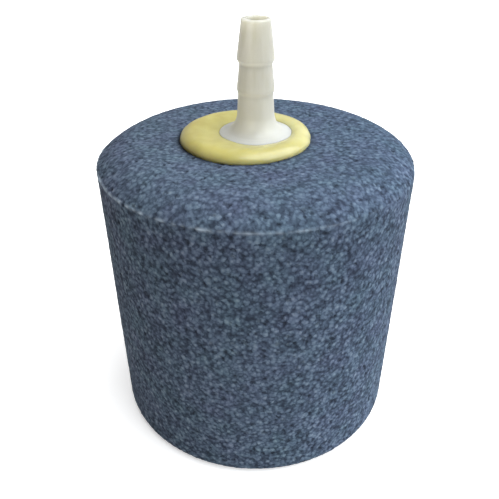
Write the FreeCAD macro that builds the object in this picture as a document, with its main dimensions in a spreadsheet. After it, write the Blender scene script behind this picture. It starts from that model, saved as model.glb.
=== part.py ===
import FreeCAD, Part
import os

import Sketcher

# Air stone for a pond or aquarium: a short cylinder of bonded mineral grain with a barbed plastic hose nipple
# glued into a blind air chamber in its top, and a bead of adhesive round the nipple's foot.
# Millimetres, +Z up. The origin is the centre of the flat underside, and the nipple's axis is the Z axis.

SIZES = {
    # stone body
    "stone_diameter": 50.0,
    "stone_height": 50.0,
    "base_diameter": 49.4,
    "base_edge_radius": 2.0,
    "flat_top_diameter": 36.4,
    "shoulder_drop": 2.8,
    "chamber_diameter": 8.0,
    "chamber_depth": 36.0,
    # nipple below the stone's top
    "stem_diameter": 6.0,
    "stem_length": 12.0,
    "stem_lead_in": 0.5,
    "rib_diameter": 7.2,
    "rib_length": 1.2,
    "rib_land": 0.4,
    "rib_pitch": 3.0,
    "first_rib_height": 2.8,
    "rib_count": 3,
    # nipple above the stone's top, heights from that top
    "foot_diameter": 11.5,
    "foot_thickness": 1.1,
    "flare_radius": 2.6,
    "neck_base_diameter": 5.8,
    "neck_top_diameter": 5.4,
    "neck_top_height": 7.2,
    "lower_barb_diameter": 5.7,
    "lower_barb_height": 7.7,
    "lower_barb_land": 0.5,
    "waist_diameter": 4.95,
    "waist_height": 11.7,
    "upper_barb_diameter": 5.6,
    "upper_barb_height": 12.2,
    "upper_barb_land": 0.3,
    "tip_diameter": 4.3,
    "tip_height": 18.0,
    "tip_edge_radius": 0.25,
    "air_bore_diameter": 3.0,
    # adhesive
    "collar_diameter": 20.8,
    "collar_base_diameter": 20.2,
    "collar_crown_diameter": 17.8,
    "collar_thickness": 1.5,
    "collar_widest_height": 0.3,
    "collar_offset": 1.6,
    "collar_lip_chamfer": 0.3,
    "adhesive_stop_height": 1.8,
}

ROUND = "reached by an arc tangent to the edge before it"


class Size:
    """A length: its number, and the spreadsheet expression that gives the same number."""

    def __init__(self, value, text):
        self.value = value
        self.text = text

    def combine(self, sign, other, value):
        other_text = other.text if isinstance(other, Size) else str(other)
        return Size(value, f"({self.text} {sign} {other_text})")

    def __add__(self, other):
        return self.combine("+", other, self.value + number(other))

    def __sub__(self, other):
        return self.combine("-", other, self.value - number(other))

    def __truediv__(self, other):
        return self.combine("/", other, self.value / number(other))


def number(value):
    return value.value if isinstance(value, Size) else value


def make_sheet(doc):
    """Put the driving dimensions in a spreadsheet, and return each one as a Size under its alias."""
    sheet = doc.addObject("Spreadsheet::Sheet", "Sizes")
    sizes = {}
    for row, (alias, value) in enumerate(SIZES.items(), start=1):
        sheet.set(f"A{row}", alias)
        sheet.set(f"B{row}", str(value))
        sheet.setAlias(f"B{row}", alias)
        sizes[alias] = Size(value, f"Sizes.{alias}")
    doc.recompute()
    return sizes


def make_body(doc, label, x=None, z=None):
    """Add a body whose origin stands at x and z in the part's frame."""
    body = doc.addObject("PartDesign::Body", label)
    body.Label = label
    place = FreeCAD.Vector(number(x) if x else 0, 0, number(z) if z else 0)
    body.Placement = FreeCAD.Placement(place, FreeCAD.Rotation())
    for axis, size in (("x", x), ("z", z)):
        if size:
            body.setExpression(f"Placement.Base.{axis}", size.text)
    return body


def origin_feature(body, role):
    return next(feature for feature in body.Origin.OriginFeatures if feature.Role == role)


def new_sketch(body, name, plane):
    sketch = body.newObject("Sketcher::SketchObject", name)
    sketch.AttachmentSupport = [(origin_feature(body, plane), "")]
    sketch.MapMode = "FlatFace"
    return sketch


def constrain(sketch, kind, *references, size=None):
    """Add a constraint, and bind its datum to the size's expression when there is one."""
    values = references if size is None else (*references, size.value)
    index = sketch.addConstraint(Sketcher.Constraint(kind, *values))
    if size is not None:
        sketch.setExpression(f"Constraints[{index}]", size.text)


def locate(sketch, edge, end, x, y):
    """Fix one end of an edge at x and y from the sketch's origin; a coordinate of 0 puts it on the axis."""
    for kind, axis, size in (("DistanceX", -2, x), ("DistanceY", -1, y)):
        if isinstance(size, Size):
            constrain(sketch, kind, -1, 1, edge, end, size=size)
        else:
            constrain(sketch, "PointOnObject", edge, end, axis)


def tangent_arc(before, start, end):
    """Return the arc from start to end that leaves start along the line before-start, and whether it runs
    anticlockwise."""
    along = (start - before).normalize()
    normal = FreeCAD.Vector(-along.y, along.x, 0)
    chord = end - start
    radius = chord.dot(chord) / (2 * chord.dot(normal))
    centre = start + normal * radius
    towards_middle = (start + end) / 2 - centre
    middle = centre + towards_middle.normalize() * abs(radius)
    return Part.Arc(start, middle, end), radius > 0


def draw_outline(body, name, corners):
    """Draw a closed outline on the body's XZ plane, each corner as (radius, height) and perhaps ROUND."""
    sketch = new_sketch(body, name, "XZ_Plane")
    points = [FreeCAD.Vector(number(corner[0]), number(corner[1]), 0) for corner in corners]
    ends = []
    for i, corner in enumerate(corners):
        anticlockwise = True
        edge = Part.LineSegment(points[i - 1], points[i])
        if ROUND in corner:
            edge, anticlockwise = tangent_arc(points[i - 2], points[i - 1], points[i])
        sketch.addGeometry(edge, False)
        ends.append((1, 2) if anticlockwise else (2, 1))
    for i, corner in enumerate(corners):
        joint = "Tangent" if ROUND in corner else "Coincident"
        before = (i - 1) % len(corners)
        constrain(sketch, joint, before, ends[before][1], i, ends[i][0])
        locate(sketch, i, ends[i][1], corner[0], corner[1])
    return sketch


def turn(body, kind, name, corners):
    """Turn an outline round the body's Z axis, as material (Revolution) or as a cut (Groove)."""
    sketch = draw_outline(body, f"{name}_outline", corners)
    feature = body.newObject(f"PartDesign::{kind}", name)
    feature.Profile = sketch
    feature.ReferenceAxis = (sketch, ["V_Axis"])
    feature.Angle = 360
    return feature


def bore(body, name, diameter, x=0):
    """Cut a round hole right through the body, parallel to Z."""
    body.Document.recompute()
    before = body.Tip.Shape.Volume
    sketch = new_sketch(body, f"{name}_circle", "XY_Plane")
    centre = FreeCAD.Vector(number(x), 0, 0)
    sketch.addGeometry(Part.Circle(centre, FreeCAD.Vector(0, 0, 1), diameter.value / 2), False)
    locate(sketch, 0, 3, x, 0)
    constrain(sketch, "Diameter", 0, size=diameter)
    pocket = body.newObject("PartDesign::Pocket", name)
    pocket.Profile = sketch
    pocket.Type = "ThroughAll"
    pocket.Midplane = True
    body.Document.recompute()
    if pocket.Shape.Volume >= before:
        raise ValueError(f"{name} cuts nothing")
    return pocket


def repeat_upwards(body, feature, count, pitch):
    pattern = body.newObject("PartDesign::LinearPattern", f"{feature.Name}_pattern")
    pattern.Originals = [feature]
    pattern.Direction = (origin_feature(body, "Z_Axis"), [""])
    pattern.Mode = "Spacing"
    pattern.setExpression("Offset", pitch.text)
    pattern.setExpression("Occurrences", count.text)
    body.Tip = pattern
    return pattern


def soften(body, kind, name, radius, height, size):
    """Fillet or chamfer the body's circular edge of this radius at this height."""
    body.Document.recompute()
    base = body.Tip
    names = [
        f"Edge{i}"
        for i, edge in enumerate(base.Shape.Edges, start=1)
        if isinstance(edge.Curve, Part.Circle)
        and abs(edge.Curve.Radius - radius.value) < 1e-4
        and abs(edge.Curve.Center.z - number(height)) < 1e-4
    ]
    feature = body.newObject(f"PartDesign::{kind}", name)
    feature.Base = (base, names)
    feature.setExpression("Radius" if kind == "Fillet" else "Size", size.text)
    return feature


def make_stone_body(doc, size):
    """Bonded grain: a barely tapered side, a rounded shoulder, a flat top and a blind air chamber."""
    body = make_body(doc, "stone_body")
    top = size["stone_height"]
    base_radius = size["base_diameter"] / 2
    chamber_radius = size["chamber_diameter"] / 2
    chamber_floor = top - size["chamber_depth"]
    turn(body, "Revolution", "block", [
        (0, top),
        (size["flat_top_diameter"] / 2, top),
        (size["stone_diameter"] / 2, top - size["shoulder_drop"], ROUND),
        (base_radius, 0),
        (0, 0),
    ])
    soften(body, "Fillet", "base_edge", base_radius, 0, size["base_edge_radius"])
    turn(body, "Groove", "air_chamber", [
        (0, top),
        (chamber_radius, top),
        (chamber_radius, chamber_floor + chamber_radius),
        (0, chamber_floor, ROUND),
    ])
    return body


def rib_outline(size):
    """One sealing rib of the stem: a square upper shoulder under a short land, and a sloping lower face."""
    rib_foot = size["first_rib_height"]
    rib_top = rib_foot + size["rib_length"]
    rib_radius = size["rib_diameter"] / 2
    return [
        (0, rib_foot),
        (size["stem_diameter"] / 2, rib_foot),
        (rib_radius, rib_top - size["rib_land"]),
        (rib_radius, rib_top),
        (0, rib_top),
    ]


def make_hose_nipple(doc, size):
    """Moulded nipple: ribbed stem, flared foot that seats on the stone, neck, two barbs and an open tip."""
    body = make_body(doc, "hose_nipple", z=size["stone_height"] - size["stem_length"])
    seat = size["stem_length"]
    stem_radius = size["stem_diameter"] / 2
    foot_radius = size["foot_diameter"] / 2
    foot_top = seat + size["foot_thickness"]
    neck_radius = size["neck_base_diameter"] / 2
    lower_radius = size["lower_barb_diameter"] / 2
    lower_barb = seat + size["lower_barb_height"]
    upper_radius = size["upper_barb_diameter"] / 2
    upper_barb = seat + size["upper_barb_height"]
    tip = seat + size["tip_height"]
    turn(body, "Revolution", "shank", [
        (0, 0),
        (stem_radius, 0),
        (stem_radius, seat),
        (foot_radius, seat),
        (foot_radius, foot_top),
        (neck_radius + size["flare_radius"], foot_top),
        (neck_radius, foot_top + size["flare_radius"], ROUND),
        (size["neck_top_diameter"] / 2, seat + size["neck_top_height"]),
        (lower_radius, lower_barb),
        (lower_radius, lower_barb + size["lower_barb_land"]),
        (size["waist_diameter"] / 2, seat + size["waist_height"]),
        (upper_radius, upper_barb),
        (upper_radius, upper_barb + size["upper_barb_land"]),
        (size["tip_diameter"] / 2, tip),
        (0, tip),
    ])
    soften(body, "Fillet", "tip_edge", size["tip_diameter"] / 2, tip, size["tip_edge_radius"])
    soften(body, "Chamfer", "lead_in", stem_radius, 0, size["stem_lead_in"])
    rib = turn(body, "Revolution", "sealing_rib", rib_outline(size))
    repeat_upwards(body, rib, size["rib_count"], size["rib_pitch"])
    bore(body, "air_bore", size["air_bore_diameter"])
    return body


def make_sealing_collar(doc, size):
    """Cured adhesive bead round the nipple's foot, laid a little off centre, with its outer edge tucked under."""
    offset = size["collar_offset"]
    body = make_body(doc, "sealing_collar", x=Size(0, "0") - offset, z=size["stone_height"])
    crown = size["collar_thickness"]
    turn(body, "Revolution", "bead", [
        (0, crown),
        (size["collar_crown_diameter"] / 2, crown),
        (size["collar_diameter"] / 2, size["collar_widest_height"], ROUND),
        (size["collar_base_diameter"] / 2, 0),
        (0, 0),
    ])
    foot_diameter = size["foot_diameter"]
    bore(body, "foot_seat", foot_diameter, x=offset)
    soften(body, "Chamfer", "inner_lip", foot_diameter / 2, crown, size["collar_lip_chamfer"])
    return body


def make_stem_adhesive(doc, size):
    """Cured adhesive sleeve between the ribbed stem and the air chamber's wall, clear of the stem's open end."""
    body = make_body(doc, "stem_adhesive", z=size["stone_height"] - size["stem_length"])
    seat = size["stem_length"]
    chamber_radius = size["chamber_diameter"] / 2
    turn(body, "Revolution", "filling", [
        (0, size["adhesive_stop_height"]),
        (chamber_radius, size["adhesive_stop_height"]),
        (chamber_radius, seat),
        (0, seat),
    ])
    rib = turn(body, "Groove", "rib_imprint", rib_outline(size))
    repeat_upwards(body, rib, size["rib_count"], size["rib_pitch"])
    bore(body, "stem_imprint", size["stem_diameter"])
    return body


def check_document(doc):
    """Stop if anything in the document failed to compute."""
    for item in doc.Objects:
        if "Invalid" in item.State or "Error" in item.State:
            raise ValueError(f"{item.Label} did not compute: {item.State}")
        if item.isDerivedFrom("Sketcher::SketchObject") and not item.FullyConstrained:
            raise ValueError(f"{item.Label} is not fully constrained")


def export_parts(bodies):
    for body in bodies:
        if body.Shape.isNull() or not body.Shape.isValid():
            raise ValueError(f"{body.Label} has no valid shape")
    os.makedirs("parts", exist_ok=True)
    for body in bodies:
        body.Shape.exportStep(f"parts/{body.Label}.step")
        box = body.Shape.optimalBoundingBox(False)
        print(f"{body.Label}: {len(body.Shape.Solids)} solid, {body.Shape.Volume:.1f} mm3, "
              f"x {box.XMin:.2f} to {box.XMax:.2f}, z {box.ZMin:.2f} to {box.ZMax:.2f}")


def main():
    doc = FreeCAD.newDocument("air_stone")
    size = make_sheet(doc)
    bodies = [
        make_stone_body(doc, size),
        make_hose_nipple(doc, size),
        make_sealing_collar(doc, size),
        make_stem_adhesive(doc, size),
    ]
    doc.recompute()
    check_document(doc)
    export_parts(bodies)


main()
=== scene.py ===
import bpy
import math
import numpy as np
from mathutils import Euler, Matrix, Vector


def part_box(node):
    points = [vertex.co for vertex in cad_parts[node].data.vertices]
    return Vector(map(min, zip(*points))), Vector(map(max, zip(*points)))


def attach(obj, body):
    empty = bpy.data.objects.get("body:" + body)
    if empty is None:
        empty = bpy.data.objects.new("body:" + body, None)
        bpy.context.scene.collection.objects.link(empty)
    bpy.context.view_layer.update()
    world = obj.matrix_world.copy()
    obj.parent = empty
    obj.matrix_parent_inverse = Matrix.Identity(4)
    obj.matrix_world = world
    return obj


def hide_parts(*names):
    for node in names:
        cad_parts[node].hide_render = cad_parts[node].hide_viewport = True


# Air stone: a block of bonded grain, a moulded nipple glued into its top and the bead of adhesive round it.
# Lengths are in millimetres, and MM turns them into metres. Only the lights and the floor are in metres.

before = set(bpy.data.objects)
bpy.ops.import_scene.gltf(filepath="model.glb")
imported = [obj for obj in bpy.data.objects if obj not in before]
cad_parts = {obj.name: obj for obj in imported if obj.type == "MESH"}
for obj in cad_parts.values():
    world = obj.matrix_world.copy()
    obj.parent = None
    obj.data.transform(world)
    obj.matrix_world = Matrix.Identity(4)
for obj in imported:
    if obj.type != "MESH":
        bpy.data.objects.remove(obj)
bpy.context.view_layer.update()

MM = 0.001
STONE_LOW, STONE_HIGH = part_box("stone_body")
NIPPLE_LOW, NIPPLE_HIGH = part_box("hose_nipple")
COLLAR_LOW, COLLAR_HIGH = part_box("sealing_collar")
STONE_RADIUS = (STONE_HIGH.x - STONE_LOW.x) / 2 / MM
STONE_TOP = STONE_HIGH.z / MM
NIPPLE_BOTTOM = NIPPLE_LOW.z / MM
NIPPLE_TIP = NIPPLE_HIGH.z / MM
FOOT_RADIUS = (NIPPLE_HIGH.x - NIPPLE_LOW.x) / 2 / MM
COLLAR_RADIUS = (COLLAR_HIGH.x - COLLAR_LOW.x) / 2 / MM
COLLAR_CENTRE = (COLLAR_HIGH.x + COLLAR_LOW.x) / 2 / MM
COLLAR_THICKNESS = (COLLAR_HIGH.z - COLLAR_LOW.z) / MM
FOOT_THICKNESS = 1.1


# ---------------------------------------------------------------- noise

NOISE_TURN = (0.6, 0.8, 0.35)
CELL_FACTORS = (374761393, 668265263, 2147483647)
CHANNEL_FACTOR = 1274126177
MIXING_ROUNDS = ((15, 2246822519), (13, 3266489917), (16, 668265263))
LARGEST_HASH = 0xFFFFFFFF
FARTHER_THAN_ANY_GRAIN = 9.0


def turned(points):
    """Points turned so that no face of the part lines up with the grid behind a noise."""
    return points @ np.array(Euler(NOISE_TURN).to_matrix()).T


def lattice_hash(cells, channel):
    """A repeatable number from 0 to 1 for each whole-number cell (rows of x, y, z) and channel."""
    mixed = np.full(len(cells), channel * CHANNEL_FACTOR & LARGEST_HASH, np.uint32)
    for i, factor in enumerate(CELL_FACTORS):
        mixed += cells[:, i].astype(np.int64).astype(np.uint32) * np.uint32(factor)
    for shift, factor in MIXING_ROUNDS:
        mixed = (mixed ^ (mixed >> np.uint32(shift))) * np.uint32(factor)
    return (mixed ^ (mixed >> np.uint32(15))) / LARGEST_HASH


def smooth_noise(points, size, channel):
    """Smooth random values from -1 to 1 at points, with bumps about size across."""
    scaled = points / size
    base = np.floor(scaled)
    part = scaled - base
    part = part * part * (3 - 2 * part)
    total = np.zeros(len(points))
    for corner in np.ndindex(2, 2, 2):
        weight = np.prod(np.where(corner, part, 1 - part), axis=1)
        total += weight * lattice_hash(base + corner, channel)
    return total * 2 - 1


def summed_noise(points, parts):
    """The sum of smooth noises, each given as its height, its size across and its channel."""
    return sum(height * smooth_noise(points, size, channel) for height, size, channel in parts)


def grains(points, size, channel):
    """The grain nearest to each point, of grains about size across.

    Returns the gap to the next grain and the offset from the grain's centre, both in grain sizes, and five
    random values of the grain's own.
    """
    scaled = points / size
    base = np.floor(scaled)
    nearest = np.full(len(points), FARTHER_THAN_ANY_GRAIN)
    second = np.full(len(points), FARTHER_THAN_ANY_GRAIN)
    offset = np.zeros((len(points), 3))
    owner = np.zeros((len(points), 3))
    for step in np.ndindex(3, 3, 3):
        cell = base + np.array(step) - 1
        centre = cell + np.stack([lattice_hash(cell, channel + i) for i in range(3)], axis=1)
        gap = scaled - centre
        distance = np.sqrt((gap * gap).sum(axis=1))
        closer = distance < nearest
        second = np.where(closer, nearest, np.minimum(second, distance))
        nearest = np.where(closer, distance, nearest)
        offset[closer] = gap[closer]
        owner[closer] = cell[closer]
    values = [lattice_hash(owner, channel + 10 + i) for i in range(5)]
    return second - nearest, offset, values


# ---------------------------------------------------------------- outlines and turned meshes

CORNER_STEPS = 6


def line(start, end, spacing):
    """Points from start up to but not including end, about spacing apart."""
    count = max(1, round(math.dist(start, end) / spacing))
    return [tuple(a + (b - a) * i / count for a, b in zip(start, end)) for i in range(count)]


def arc(centre, radius, start, end, spacing):
    """Points on an arc from start to end degrees, up to but not including its end."""
    sweep = math.radians(end - start)
    count = max(1, round(abs(sweep) * radius / spacing))
    turns = [math.radians(start) + sweep * i / count for i in range(count)]
    return [(centre[0] + radius * math.cos(a), centre[1] + radius * math.sin(a)) for a in turns]


def partway(corner, other, reach):
    """The point at reach from a corner toward another one, or nearly halfway there where they are close."""
    share = min(reach / math.dist(corner, other), 0.45)
    return [a + (b - a) * share for a, b in zip(corner, other)]


def rounded_outline(corners, reach, spacing):
    """A closed outline through the corners, each rounded off by a curve that starts reach before it."""
    points = []
    for i, corner in enumerate(corners):
        before, after = corners[i - 1], corners[(i + 1) % len(corners)]
        start, end = partway(corner, before, reach), partway(corner, after, reach)
        for step in range(CORNER_STEPS + 1):
            t = step / CORNER_STEPS
            curve = ((1 - t) ** 2 * a + 2 * t * (1 - t) * b + t ** 2 * c
                     for a, b, c in zip(start, corner, end))
            points.append(tuple(curve))
        points += line(end, partway(after, corner, reach), spacing)[1:]
    return points


def ring_bands(upper, lower):
    """Faces between two rings of vertex numbers, where one may have twice as many as the other."""
    a, b = len(upper), len(lower)
    if a == b:
        return [(upper[j - 1], lower[j - 1], lower[j], upper[j]) for j in range(a)]
    if a < b:
        return [tuple(reversed(face)) for face in ring_bands(lower, upper)]
    faces = []
    for j in range(b):
        k = (j + 1) % b
        first, middle, last = upper[2 * j], upper[2 * j + 1], upper[(2 * j + 2) % a]
        faces += [(first, lower[j], middle), (middle, lower[j], lower[k]), (middle, lower[k], last)]
    return faces


def turned_grid(profile, segments, closed=False):
    """Turn a profile of (radius, height) points round the Z axis, outward side on its left.

    segments is a function that gives the number of segments at a radius. A point on the axis is one vertex.
    Returns the vertices, the faces, and each vertex's profile point number and angle.
    """
    counts = [1 if r < 1e-9 else segments(r) for r, _ in profile]
    starts = np.concatenate([[0], np.cumsum(counts)])
    index = np.repeat(np.arange(len(profile)), counts)
    angle = (np.arange(starts[-1]) - starts[index]) * (2 * math.pi / np.array(counts)[index])
    radius, height = np.array(profile)[index].T
    vertices = np.stack([radius * np.cos(angle), radius * np.sin(angle), height], axis=1)
    rings = [list(range(starts[i], starts[i + 1])) for i in range(len(profile))]
    faces = []
    for upper, lower in zip(rings, rings[1:] + (rings[:1] if closed else [])):
        if len(upper) == 1:
            faces += [(upper[0], lower[j - 1], lower[j]) for j in range(len(lower))]
        elif len(lower) == 1:
            faces += [(upper[j], upper[j - 1], lower[0]) for j in range(len(upper))]
        else:
            faces += ring_bands(upper, lower)
    return vertices, faces, index, angle


def outline_normals(profile, index, angle, closed=False):
    """The outward direction at each vertex of a turned grid."""
    points = np.array(profile)
    ahead, behind = np.roll(points, -1, axis=0), np.roll(points, 1, axis=0)
    if not closed:
        ahead[-1], behind[0] = points[-1], points[0]
    along = ahead - behind
    along /= np.linalg.norm(along, axis=1, keepdims=True)
    out = -along[index, 1]
    return np.stack([out * np.cos(angle), out * np.sin(angle), along[index, 0]], axis=1)


def add_piece(name, vertices, faces, material, node, values=None):
    """Make the mesh, smooth shaded, with its per-vertex values, in place of its CAD node."""
    mesh = bpy.data.meshes.new(name)
    mesh.from_pydata((vertices * MM).tolist(), [], faces)
    mesh.shade_smooth()
    for key, value in (values or {}).items():
        layer = mesh.attributes.new(key, "FLOAT", "POINT")
        layer.data.foreach_set("value", value.astype(np.float32))
    piece = bpy.data.objects.new(name, mesh)
    bpy.context.scene.collection.objects.link(piece)
    mesh.materials.append(material)
    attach(piece, "root")
    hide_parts(node)
    return piece


# ---------------------------------------------------------------- material helpers

def shader(name):
    """A new node material and its Principled node."""
    material = bpy.data.materials.new(name)
    material.use_nodes = True
    return material, material.node_tree.nodes["Principled BSDF"]


def node(tree, kind, inputs=None, **settings):
    """Add a node; an input may be given a value or another node's output."""
    made = tree.nodes.new(f"ShaderNode{kind}")
    for key, value in settings.items():
        setattr(made, key, value)
    for key, value in (inputs or {}).items():
        if isinstance(value, bpy.types.NodeSocket):
            tree.links.new(value, made.inputs[key])
        else:
            made.inputs[key].default_value = value
    return made


def connect(principled, **sources):
    """Feed the Principled node's inputs, named with _ for a space, from outputs or values."""
    for key, value in sources.items():
        socket = principled.inputs[key.replace("_", " ")]
        if isinstance(value, bpy.types.NodeSocket):
            principled.id_data.links.new(value, socket)
        else:
            socket.default_value = value


def math_node(tree, operation, a, b=0.0):
    """The result of an operation on one or two numbers, each an output or a value."""
    return node(tree, "Math", {0: a, 1: b}, operation=operation).outputs[0]


def ramp(tree, factor, stops):
    """A colour ramp through (place, colour) stops."""
    made = node(tree, "ValToRGB", {"Fac": factor})
    elements = made.color_ramp.elements
    while len(elements) < len(stops):
        elements.new(0.5)
    for element, (place, colour) in zip(elements, stops):
        element.position = place
        element.color = (*colour, 1)
    return made.outputs["Color"]


def blend_colours(tree, factor, a, b, blend_type="MIX"):
    """Blend two colours, each an output or a (red, green, blue) value."""
    mixed = node(tree, "Mix", data_type="RGBA", blend_type=blend_type)
    for socket, value in ((mixed.inputs[0], factor), (mixed.inputs[6], a), (mixed.inputs[7], b)):
        if isinstance(value, bpy.types.NodeSocket):
            tree.links.new(value, socket)
        else:
            socket.default_value = (*value, 1) if isinstance(value, tuple) else value
    return mixed.outputs[2]


def multiply_colour(tree, colour, tint):
    """The colour with each of its parts multiplied by the tint's."""
    return blend_colours(tree, 1.0, colour, tint, "MULTIPLY")


def grey(level):
    """A neutral colour, which also serves where a ramp gives a single number."""
    return (level, level, level)


def share_between(tree, value, start, end):
    """How far value has come from start to end, from 0 to 1."""
    return node(tree, "MapRange", {"Value": value, "From Min": start, "From Max": end}).outputs["Result"]


def place_in_part(tree):
    """The part's own coordinates, in metres."""
    return node(tree, "TexCoord").outputs["Object"]


def turned_place(tree):
    """The part's coordinates, turned so that no face of the part lines up with the grid behind a noise."""
    return node(tree, "Mapping", {"Vector": place_in_part(tree), "Rotation": NOISE_TURN}).outputs["Vector"]


def noise(tree, size, detail=3.0, place=None):
    """Noise with features about size across."""
    inputs = {"Vector": place or turned_place(tree), "Scale": 1 / (size * MM), "Detail": detail}
    return node(tree, "TexNoise", inputs).outputs["Fac"]


def cells(tree, size):
    """Cells about size across: a random value from 0 to 1 for each, and the nearness to its middle."""
    made = node(tree, "TexVoronoi", {"Vector": turned_place(tree), "Scale": 1 / (size * MM)})
    value = node(tree, "SeparateColor", {"Color": made.outputs["Color"]}).outputs["Red"]
    return value, share_between(tree, made.outputs["Distance"], 0.8, 0.1)


def bumps(tree, height, strength, distance):
    """A normal that follows a height map whose full range is distance."""
    inputs = {"Height": height, "Strength": strength, "Distance": distance * MM}
    return node(tree, "Bump", inputs).outputs["Normal"]


def mixture(tree, base, *parts):
    """The base value plus the sum of sockets, each multiplied by its weight."""
    total = base
    for weight, socket in parts:
        total = math_node(tree, "ADD", total, math_node(tree, "MULTIPLY", socket, weight))
    return total


def attribute(tree, name):
    """A per-vertex value of the mesh."""
    return node(tree, "Attribute", attribute_name=name).outputs["Fac"]


# ---------------------------------------------------------------- stone

# The block's outline is the same as in the CAD part.
FLAT_TOP_RADIUS = 18.2
SHOULDER_DROP = 2.8
BASE_RADIUS = 24.7
BASE_EDGE_RADIUS = 2.0
CHAMBER_DEPTH = 36.0

FINE_SPACING = 0.21
HIDDEN_SPACING = 0.9
RIM_SEGMENTS = 768

GRAIN = 0.52
GRAIN_CHANNEL = 1
GRAIN_STEP = 0.03
GRAIN_TILT = 0.04
CREVICE_REACH = 0.17  # in grain sizes
CREVICE_DEPTH = 0.02
PIT_SHARE = 0.06
PIT_DEPTH = 0.12
# Each noise below is given as its height, its size across and its channel.
GRAIN_UNEVENNESS = ((0.035, 0.55, 40), (0.02, 0.37, 41), (0.02, 8.0, 44))

FLASH_REACH = 0.22
FLASH_HEIGHT = 0.14
FLASH_BREAKS = ((0.45, 1.6, 42), (0.5, 0.6, 43))
WORN_SIDE = -15  # degrees round from +X
WEAR_REACH = 0.6
WEAR_DEPTH = 0.15
# How far the painted contact shadow round the bead reaches.
BEAD_SHADOW_REACH = 0.45


def grain_tone(tree, share):
    """A tone for every grain, light at its middle and dark at its edge, and calmer near the stone's top.

    share is how far up the stone the place is. Also returns the fine cells' random values.
    """
    coarse, blob = cells(tree, 0.63)
    fine, small_blob = cells(tree, 0.40)
    clumps = noise(tree, 0.66, 0.0)
    parts = (0.30, coarse), (0.15, fine), (0.28, blob), (0.12, small_blob), (0.50, clumps)
    contrast = mixture(tree, -0.66, *parts)
    calm = ramp(tree, share, [(0.9, grey(1.0)), (1.0, grey(0.7))])
    tone = math_node(tree, "ADD", math_node(tree, "MULTIPLY", contrast, calm), 0.5)
    return tone, fine


def grain_tints(tree, across, share):
    """Hue clouds and painted light: warmer left, cooler right, lighter low down, shade in gaps, pits, round
    the bead.
    """
    clouds = blend_colours(tree, noise(tree, 5.0, 2.0), (0.90, 1.08, 0.96), (1.08, 0.93, 1.06))
    # Painted light tint: warmer at the left, cooler at the right, where the key falls.
    side = share_between(tree, across, STONE_LOW.x, STONE_HIGH.x)
    painted_light_tint = blend_colours(tree, side, (1.05, 1.0, 0.95), (0.96, 1.0, 1.045))
    # Painted bounce light: lighter at the stone's bottom, darker towards the rim and a little lighter again
    # on top.
    painted_bounce_light = ramp(tree, share, [(0.0, grey(1.0)), (0.35, grey(0.9)), (0.9, grey(0.8)), (0.97, grey(0.9))])
    # Painted shade darkens the crevices, the pits and the stone round the bead.
    painted_shade_factor = mixture(tree, 1.0, (-0.45, attribute(tree, "painted_shade")))
    return clouds, painted_light_tint, painted_bounce_light, painted_shade_factor


def stone_material():
    """Crushed slate-blue grain with a dusty flash line at the rim."""
    material, principled = shader("bonded_grain_looks")
    tree = material.node_tree
    across, _, height = node(tree, "SeparateXYZ", {"Vector": place_in_part(tree)}).outputs
    share = math_node(tree, "DIVIDE", height, STONE_TOP * MM)
    tone, fine = grain_tone(tree, share)
    mineral = ramp(tree, tone, [
        (0.20, (0.026, 0.036, 0.057)),
        (0.37, (0.050, 0.069, 0.105)),
        (0.50, (0.076, 0.106, 0.156)),
        (0.63, (0.110, 0.152, 0.214)),
        (0.82, (0.178, 0.229, 0.292)),
    ])
    # Besides hue clouds, these tints paint light and shade into the grain's colour.
    for tint in grain_tints(tree, across, share):
        mineral = multiply_colour(tree, mineral, tint)
    mineral = blend_colours(tree, attribute(tree, "flash"), mineral, (0.38, 0.45, 0.52))
    dullness = ramp(tree, tone, [(0.0, grey(0.95)), (0.8, grey(0.85)), (0.97, grey(0.5))])
    pores = math_node(tree, "ADD", noise(tree, 0.16, 2.0), fine)
    connect(principled, Base_Color=mineral, Roughness=dullness, Specular_IOR_Level=0.15,
            Normal=bumps(tree, pores, 0.15, 0.05))
    return material


def stone_profile():
    """From the air chamber's floor up its wall, over the top, down the side and in under the base.

    Returns the points and the number of the point at the rim, where the shoulder meets the side.
    """
    chamber_low, chamber_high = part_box("stem_adhesive")
    chamber_radius = (chamber_high.x - chamber_low.x) / 2 / MM
    chamber_floor = STONE_TOP - CHAMBER_DEPTH
    run = STONE_RADIUS - FLAT_TOP_RADIUS
    shoulder_radius = (run ** 2 + SHOULDER_DROP ** 2) / (2 * SHOULDER_DROP)
    shoulder_centre = (FLAT_TOP_RADIUS, STONE_TOP - shoulder_radius)
    shoulder_end = math.degrees(math.acos(run / shoulder_radius))
    wall_foot = (chamber_radius, chamber_floor + chamber_radius)
    wall_top = (chamber_radius, STONE_TOP)
    edge_centre = (BASE_RADIUS - BASE_EDGE_RADIUS, BASE_EDGE_RADIUS)
    profile = arc((0, wall_foot[1]), chamber_radius, -90, 0, HIDDEN_SPACING)
    profile[0] = (0.0, chamber_floor)  # exactly on the axis
    profile += line(wall_foot, wall_top, HIDDEN_SPACING)
    profile += line(wall_top, (FLAT_TOP_RADIUS, STONE_TOP), FINE_SPACING)
    profile += arc(shoulder_centre, shoulder_radius, 90, shoulder_end, FINE_SPACING)
    rim_point = len(profile)
    rim, side_foot = (STONE_RADIUS, STONE_TOP - SHOULDER_DROP), (BASE_RADIUS, BASE_EDGE_RADIUS)
    profile += line(rim, side_foot, FINE_SPACING)
    profile += arc(edge_centre, BASE_EDGE_RADIUS, 0, -90, FINE_SPACING)
    profile += line((edge_centre[0], 0), (0, 0), FINE_SPACING)
    profile.append((0.0, 0.0))
    return profile, rim_point


def stone_segments(radius):
    """The number of segments in a ring, which halves each time its radius halves."""
    return RIM_SEGMENTS >> max(0, int(math.log2(STONE_RADIUS / radius)))


def fall_off(distance, reach):
    """A bell curve: 1 at no distance, and next to nothing past twice the reach."""
    return np.exp(-(distance / reach) ** 2)


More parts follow.
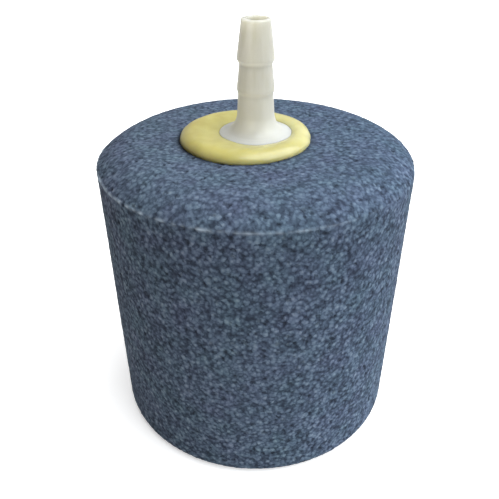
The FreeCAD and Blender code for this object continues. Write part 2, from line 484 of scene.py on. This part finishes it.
def grain_relief(spots):
    """The height of the grain at each spot, and how deep the spot lies in a crevice and in a pit."""
    gap, offset, chance = grains(spots, GRAIN, GRAIN_CHANNEL)
    tilt = sum(offset[:, i] * (chance[i] - 0.5) for i in range(3))
    crevice = fall_off(gap, CREVICE_REACH)
    pit = np.where(chance[4] < PIT_SHARE, 1 - crevice * 0.4, 0.0)
    relief = GRAIN_STEP * (chance[3] - 0.5) + GRAIN_TILT * tilt - CREVICE_DEPTH * crevice - PIT_DEPTH * pit
    return relief + summed_noise(spots, GRAIN_UNEVENNESS), crevice, pit


def add_rim_wear(relief, spots, from_rim, angle):
    """Add to the relief a broken flash line along the rim, worn away on one side.

    from_rim is each vertex's distance from the rim. Returns the relief and how strongly the line shows.
    """
    unworn = (0.5 - 0.5 * np.cos(angle - math.radians(WORN_SIDE))) ** 1.2
    broken = 0.5 + summed_noise(spots, FLASH_BREAKS)
    along_rim = fall_off(from_rim, FLASH_REACH) * unworn
    ridge = along_rim * np.clip(broken, 0, 1.2)
    flash = np.clip(along_rim * (2.0 * broken - 0.2), 0, 1)
    worn = (1 - unworn) * fall_off(from_rim, WEAR_REACH)
    relief = relief * (1 - 0.5 * np.clip(ridge, 0, 1)) + FLASH_HEIGHT * ridge - WEAR_DEPTH * worn
    return relief, flash


def painted_bead_shadow(vertices, angle):
    """How strong the painted contact shadow round the bead is on the stone's top, strongest at the left."""
    from_bead = np.abs(np.hypot(vertices[:, 0] - COLLAR_CENTRE, vertices[:, 1]) - COLLAR_RADIUS)
    on_top = vertices[:, 2] > STONE_TOP - 0.5
    return fall_off(from_bead, BEAD_SHADOW_REACH) * on_top * (0.75 - 0.25 * np.cos(angle))


def build_stone():
    """The block, with every grain of its surface as a small tilted facet."""
    profile, rim_point = stone_profile()
    vertices, faces, index, angle = turned_grid(profile, stone_segments)
    steps = np.linalg.norm(np.diff(np.array(profile), axis=0), axis=1)
    travel = np.concatenate([[0], np.cumsum(steps)])
    from_rim = (travel - travel[rim_point])[index]
    spots = turned(vertices)
    relief, crevice, pit = grain_relief(spots)
    relief, flash = add_rim_wear(relief, spots, from_rim, angle)
    # Painted shade: darker in the crevices between grains, in pits and in a contact shadow round the bead.
    painted_shade = 0.3 * crevice + 0.9 * (pit > 0) + 1.9 * painted_bead_shadow(vertices, angle)
    vertices = vertices + outline_normals(profile, index, angle) * relief[:, None]
    vertices[:, 2] = np.maximum(vertices[:, 2], 0)
    values = {"painted_shade": np.clip(painted_shade, 0, 2), "flash": flash}
    return add_piece("grain_block", vertices, faces, stone_material(), "stone_body", values)


# ---------------------------------------------------------------- adhesive collar

COLLAR_EDGE_WIDTH = 2.0
COLLAR_WIDEST_HEIGHT = 0.15
COLLAR_TUCK = 0.1
COLLAR_SINK = 0.06
COLLAR_OVERLAP = 0.12
COLLAR_SEGMENTS = 384
COLLAR_CURVE_STEPS = 16
COLLAR_BASE_STEPS = 6
COLLAR_NOISE_RADIUS = 10.0
COLLAR_UNEVENNESS = ((0.16, 5.0, 60), (0.05, 1.7, 61))
COLLAR_SWELLING = ((0.07, 6.0, 62),)
COLLAR_RIPPLE = ((0.035, 2.2, 63),)
# Where the bead's colour ramp runs, from thick deep-yellow resin at the left to painted light at the right.
COLLAR_DEEPEST_AT, COLLAR_PALEST_AT = -12.0, 9.0  # along X


def adhesive_material(name):
    """Cured resin: glossy yellow with faint swirls, deepest at the wide left, with painted light at the
    right and by the nipple.
    """
    material, principled = shader(name)
    tree = material.node_tree
    swirl = noise(tree, 3.5, 3.0)
    body = ramp(tree, swirl, [
        (0.30, (0.47, 0.435, 0.155)),
        (0.55, (0.53, 0.495, 0.195)),
        (0.75, (0.58, 0.550, 0.24)),
    ])
    x = node(tree, "SeparateXYZ", {"Vector": place_in_part(tree)}).outputs["X"]
    # Deeper yellow at the left, where the resin is thick, and painted light: paler and whiter towards the
    # lit right, and lifted just left of the nipple, where its shadow falls.
    bead_thickness_and_painted_light = ramp(tree, share_between(tree, x, COLLAR_DEEPEST_AT * MM, COLLAR_PALEST_AT * MM), [
        (0.0, (0.68, 0.62, 0.44)),
        (0.2, (0.93, 0.88, 0.72)),
        (0.55, (0.84, 0.82, 0.77)),
        (1.0, (1.0, 1.0, 1.22)),
    ])
    body = multiply_colour(tree, body, bead_thickness_and_painted_light)
    dullness = ramp(tree, noise(tree, 1.2, 2.0), [(0.3, grey(0.17)), (0.7, grey(0.26))])
    dimples = bumps(tree, noise(tree, 0.9, 2.0), 0.25, 0.05)
    connect(principled, Base_Color=body, Roughness=dullness, Normal=dimples, Subsurface_Weight=0.9,
            Subsurface_Radius=(1.0, 0.85, 0.45), Subsurface_Scale=2.5 * MM)
    return material


def bead_rings(inner, outer, crown):
    """The bead's section as rings of (radius, height above the stone).

    It goes over the crest and the curved edge, in under the tucked side, back along the base and up inside.
    inner and outer are its radii and crown multiplies its thickness, each with a value for every direction.
    """
    quarter = np.arange(1, COLLAR_CURVE_STEPS + 1) * (math.pi / 2 / COLLAR_CURVE_STEPS)
    crest = outer - COLLAR_EDGE_WIDTH
    base = outer - COLLAR_TUCK
    widest = COLLAR_WIDEST_HEIGHT * crown
    foot = FOOT_THICKNESS * crown
    above_foot = (COLLAR_THICKNESS - FOOT_THICKNESS) * crown
    above_widest = (COLLAR_THICKNESS - COLLAR_WIDEST_HEIGHT) * crown
    above_base = widest + COLLAR_SINK
    base_shares = np.linspace(0, 1, COLLAR_BASE_STEPS + 1)[1:]
    edge = COLLAR_EDGE_WIDTH
    rings = [(inner, foot)]
    rings += [(inner + (crest - inner) * a / quarter[-1], foot + above_foot * math.sin(a)) for a in quarter]
    rings += [(crest + edge * math.sin(a), widest + above_widest * math.cos(a)) for a in quarter]
    rings += [(base + COLLAR_TUCK * math.cos(a), widest - above_base * math.sin(a)) for a in quarter]
    rings += [(base + (inner - base) * share, -COLLAR_SINK) for share in base_shares]
    rings += [(inner, -COLLAR_SINK + (foot + COLLAR_SINK) * share) for share in (0.25, 0.5, 0.75)]
    return rings


def build_collar():
    """The hand-laid bead: its outline is off centre and a little uneven, and its edge tucks under."""
    turn = np.arange(COLLAR_SEGMENTS) * (2 * math.pi / COLLAR_SEGMENTS)
    along_x, along_y = np.cos(turn), np.sin(turn)
    circle = COLLAR_NOISE_RADIUS * np.stack([along_x, along_y, np.zeros(COLLAR_SEGMENTS)], axis=1)
    outer = COLLAR_CENTRE * along_x + np.sqrt(COLLAR_RADIUS ** 2 - (COLLAR_CENTRE * along_y) ** 2)
    outer += summed_noise(circle, COLLAR_UNEVENNESS)
    crown = 1 + summed_noise(circle, COLLAR_SWELLING)
    inner = np.full(COLLAR_SEGMENTS, FOOT_RADIUS - COLLAR_OVERLAP)
    rings = [
        np.stack(np.broadcast_arrays(radius * along_x, radius * along_y, STONE_TOP + height), axis=1)
        for radius, height in bead_rings(inner, outer, crown)
    ]
    vertices = np.concatenate(rings)
    numbers = np.arange(len(vertices)).reshape(len(rings), COLLAR_SEGMENTS).tolist()
    faces = [face for a, b in zip(numbers, numbers[1:] + numbers[:1]) for face in ring_bands(a, b)]
    free = np.clip((vertices[:, 2] - STONE_TOP) / COLLAR_THICKNESS, 0, 1)
    vertices[:, 2] += summed_noise(vertices, COLLAR_RIPPLE) * free
    material = adhesive_material("cured_adhesive_looks")
    return add_piece("adhesive_bead", vertices, faces, material, "sealing_collar")


def dress_stem_adhesive():
    """Give the hidden CAD sleeve of adhesive its looks."""
    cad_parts["stem_adhesive"].data.materials[0] = adhesive_material("stem_adhesive_looks")


# ---------------------------------------------------------------- nipple

BORE_RADIUS = 1.5
TIP_RADIUS = 2.15
NECK_RADIUS = 2.9
FLARE_SLOPE = 0.55
FLARE_SWEEP = 2.05
STEM_RADIUS = 3.0
STEM_LEAD_IN = 0.5
RIB_RADIUS = 3.6
RIB_LENGTH = 1.2
RIB_LAND = 0.4
RIB_PITCH = 3.0
RIB_COUNT = 3
FIRST_RIB_HEIGHT = 2.8
SOFT_EDGE = 0.26
NIPPLE_SPACING = 0.35
NIPPLE_SEGMENTS = 160
PARTING_LINE_ANGLE = 28  # degrees round from +X
PARTING_LINE_REACH = 0.022  # as a share of the radius
PARTING_LINE_HEIGHT = 0.045
WALL_UNEVENNESS = ((0.02, 3.0, 80),)
# Heights above the stone over which the nipple is painted paler towards its foot, as painted light.
PALE_FROM_HEIGHT = 9.0
PALEST_AT_HEIGHT = 1.0


def nipple_material():
    """Milky moulded plastic with faint flow streaks, and painted light: paler at its foot, more so at the
    lit right, and under its barbs.
    """
    material, principled = shader("nipple_plastic_looks")
    tree = material.node_tree
    place = place_in_part(tree)
    across, _, height = node(tree, "SeparateXYZ", {"Vector": place}).outputs
    stretched = node(tree, "Mapping", {"Vector": place, "Scale": (1, 1, 0.18)}).outputs["Vector"]
    flow = noise(tree, 0.9, 3.0, stretched)
    body = ramp(tree, flow, [
        (0.3, (0.37, 0.36, 0.30)),
        (0.5, (0.395, 0.385, 0.335)),
        (0.75, (0.42, 0.41, 0.37)),
    ])
    # Painted light: low down by the foot the plastic is painted paler, and paler at the lit right than at
    # the left.
    side = share_between(tree, across, -FOOT_RADIUS * MM, FOOT_RADIUS * MM)
    foot = blend_colours(tree, side, (0.42, 0.415, 0.375), (0.55, 0.55, 0.51))
    pale_from, palest_at = (STONE_TOP + PALE_FROM_HEIGHT) * MM, (STONE_TOP + PALEST_AT_HEIGHT) * MM
    body = blend_colours(tree, share_between(tree, height, pale_from, palest_at), body, foot)
    # Painted light: faces turned downward, under the barbs, are painted paler to lift their shade.
    facing = node(tree, "SeparateXYZ", {"Vector": node(tree, "NewGeometry").outputs["Normal"]}).outputs["Z"]
    body = blend_colours(tree, share_between(tree, facing, 0.0, -0.55), body, (0.54, 0.53, 0.475))
    dullness = ramp(tree, noise(tree, 1.5, 3.0), [(0.3, grey(0.34)), (0.7, grey(0.48))])
    connect(principled, Base_Color=body, Roughness=dullness, Normal=bumps(tree, flow, 0.2, 0.04),
            Specular_IOR_Level=0.4, Subsurface_Weight=1.0, Subsurface_Radius=(1.0, 0.95, 0.8),
            Subsurface_Scale=4.0 * MM)
    return material


def barb_corners(radius, top, foot, under_radius, under_top):
    """A barb's land and the narrower wall under it, with heights above the stone."""
    return [(radius, STONE_TOP + top), (radius, STONE_TOP + foot), (under_radius, STONE_TOP + under_top)]


def flare_corner(inward):
    """A corner of the flared foot, a share of the way in from the foot's edge to the neck."""
    radius = FOOT_RADIUS - (FOOT_RADIUS - NECK_RADIUS) * inward
    rise = FLARE_SLOPE * inward + FLARE_SWEEP * inward ** 5
    return (radius, STONE_TOP + FOOT_THICKNESS + rise)


def rib_corners(foot):
    """A sealing rib of the stem, from its square upper shoulder down its sloping face."""
    top = foot + RIB_LENGTH
    return [(STEM_RADIUS, top), (RIB_RADIUS, top), (RIB_RADIUS, top - RIB_LAND), (STEM_RADIUS, foot)]


def nipple_corners():
    """The moulded nipple's outline from the tip down its outside to the stem's end and back up the bore."""
    corners = [(TIP_RADIUS, NIPPLE_TIP)]
    corners += barb_corners(radius=2.82, top=12.5, foot=12.25, under_radius=2.48, under_top=11.7)
    corners += barb_corners(radius=2.87, top=8.1, foot=7.8, under_radius=2.69, under_top=7.25)
    corners += [flare_corner(inward) for inward in (1.0, 0.94, 0.87, 0.78, 0.67, 0.5, 0.25, 0.0)]
    corners += [(FOOT_RADIUS, STONE_TOP), (STEM_RADIUS, STONE_TOP)]
    for i in reversed(range(RIB_COUNT)):
        corners += rib_corners(NIPPLE_BOTTOM + FIRST_RIB_HEIGHT + RIB_PITCH * i)
    corners += [(STEM_RADIUS, NIPPLE_BOTTOM + STEM_LEAD_IN), (STEM_RADIUS - STEM_LEAD_IN, NIPPLE_BOTTOM)]
    corners += [(BORE_RADIUS, NIPPLE_BOTTOM), (BORE_RADIUS, NIPPLE_TIP)]
    return corners


def build_nipple():
    """The nipple, with soft edges, a faint parting line down two sides and a slightly uneven wall."""
    profile = rounded_outline(nipple_corners(), SOFT_EDGE, NIPPLE_SPACING)
    vertices, faces, index, angle = turned_grid(profile, lambda radius: NIPPLE_SEGMENTS, closed=True)
    outside = (np.hypot(vertices[:, 0], vertices[:, 1]) > BORE_RADIUS + 0.15).astype(float)
    seam = fall_off(np.sin(angle - math.radians(PARTING_LINE_ANGLE)), PARTING_LINE_REACH)
    relief = outside * (PARTING_LINE_HEIGHT * seam + summed_noise(vertices, WALL_UNEVENNESS))
    vertices = vertices + outline_normals(profile, index, angle, closed=True) * relief[:, None]
    return add_piece("moulded_nipple", vertices, faces, nipple_material(), "hose_nipple")


# ---------------------------------------------------------------- surroundings

CAMERA_ELEVATION = 32.36  # degrees
CAMERA_DISTANCE = 103.71 * MM
AIM_HEIGHT = 29.08 * MM
CAMERA_SIDESTEP = -1.05 * MM
CAMERA_LENS = 42.18
CAMERA_ROLL = -0.25  # degrees
CAMERA_CLIP_START = 5 * MM
FLOOR_HALF_WIDTH = 3.0  # metres
GLOW_FROM, GLOW_FULL = 0.1, 0.5  # metres from the part's middle


def add_camera():
    """Close, looking down on the front of the stone from a little left of its axis."""
    camera = bpy.data.objects.new("camera", bpy.data.cameras.new("camera"))
    bpy.context.scene.collection.objects.link(camera)
    tilt = math.radians(CAMERA_ELEVATION)
    back = Vector((0, -math.cos(tilt), math.sin(tilt)))
    camera.location = Vector((CAMERA_SIDESTEP, 0, AIM_HEIGHT)) + back * CAMERA_DISTANCE
    turn = (-back).to_track_quat("-Z", "Y")
    camera.rotation_euler = turn.to_euler()
    camera.rotation_euler.rotate_axis("Z", math.radians(CAMERA_ROLL))
    camera.data.lens = CAMERA_LENS
    camera.data.clip_start = CAMERA_CLIP_START
    bpy.context.scene.camera = camera


def add_light(name, azimuth, elevation, distance, size, power, colour):
    """A square soft light aimed at the stone; azimuth 0 is on the camera's side and 90 to the right.

    Its distance and size are in metres and its power in watts.
    """
    lamp = bpy.data.lights.new(name, "AREA")
    lamp.size = size
    lamp.energy = power
    lamp.color = colour
    light = bpy.data.objects.new(name, lamp)
    bpy.context.scene.collection.objects.link(light)
    a, e = math.radians(azimuth), math.radians(elevation)
    toward = Vector((math.sin(a) * math.cos(e), -math.cos(a) * math.cos(e), math.sin(e)))
    light.location = toward * distance + Vector((0, 0, AIM_HEIGHT))
    light.rotation_euler = toward.to_track_quat("Z", "Y").to_euler()
    return light


def add_floor():
    """A wide pale floor of faintly uneven tone. The camera alone sees it glow, and more so farther away."""
    far = FLOOR_HALF_WIDTH
    corners = [(-far, -far, 0), (far, -far, 0), (far, far, 0), (-far, far, 0)]
    mesh = bpy.data.meshes.new("floor")
    mesh.from_pydata(corners, [], [(0, 1, 2, 3)])
    material, principled = shader("floor_looks")
    tree = material.node_tree
    tone = ramp(tree, noise(tree, 60.0, 2.0), [(0.3, (0.80, 0.79, 0.78)), (0.7, (0.83, 0.82, 0.81))])
    away = node(tree, "VectorMath", {0: place_in_part(tree)}, operation="LENGTH").outputs["Value"]
    glow = mixture(tree, 0.5, (0.45, share_between(tree, away, GLOW_FROM, GLOW_FULL)))
    to_camera = math_node(tree, "MULTIPLY", node(tree, "LightPath").outputs["Is Camera Ray"], glow)
    connect(principled, Base_Color=tone, Roughness=0.9, Specular_IOR_Level=0.1,
            Emission_Color=(1, 1, 1, 1), Emission_Strength=to_camera)
    mesh.materials.append(material)
    floor = bpy.data.objects.new("floor", mesh)
    bpy.context.scene.collection.objects.link(floor)


def add_surround():
    """An even surround that lights the part softly, and looks brighter in reflections and to the camera."""
    world = bpy.data.worlds.new("surround")
    bpy.context.scene.world = world
    world.use_nodes = True
    tree = world.node_tree
    path = node(tree, "LightPath").outputs
    colour = blend_colours(tree, path["Is Glossy Ray"], (0.14, 0.127, 0.125), grey(0.5))
    colour = blend_colours(tree, path["Is Camera Ray"], colour, grey(0.95))
    tree.links.new(colour, tree.nodes["Background"].inputs["Color"])


def add_lights():
    """A large soft key from the upper right, a weaker light from behind and a small fill for the nipple.

    Reflections don't show the light from behind. The fill lights the nipple alone, and stands for the light
    that milky plastic carries round inside itself.
    """
    add_light("key", azimuth=74, elevation=54, distance=1.2, size=1.7, power=38.0,
              colour=(0.94, 0.98, 1.01))
    back = add_light("back_light", azimuth=178, elevation=58, distance=1.2, size=1.0, power=6.5,
                     colour=(0.95, 0.98, 1.0))
    back.visible_glossy = False
    fill = add_light("nipple_fill", azimuth=-32, elevation=5, distance=0.5, size=0.4, power=2.3,
                     colour=(1.0, 0.955, 0.83))
    nipple_only = bpy.data.collections.new("nipple_only")
    nipple_only.objects.link(bpy.data.objects["moulded_nipple"])
    fill.light_linking.receiver_collection = nipple_only


build_stone()
build_collar()
build_nipple()
dress_stem_adhesive()
add_floor()
add_surround()
add_lights()
add_camera()
bpy.context.scene.view_settings.view_transform = "Standard"
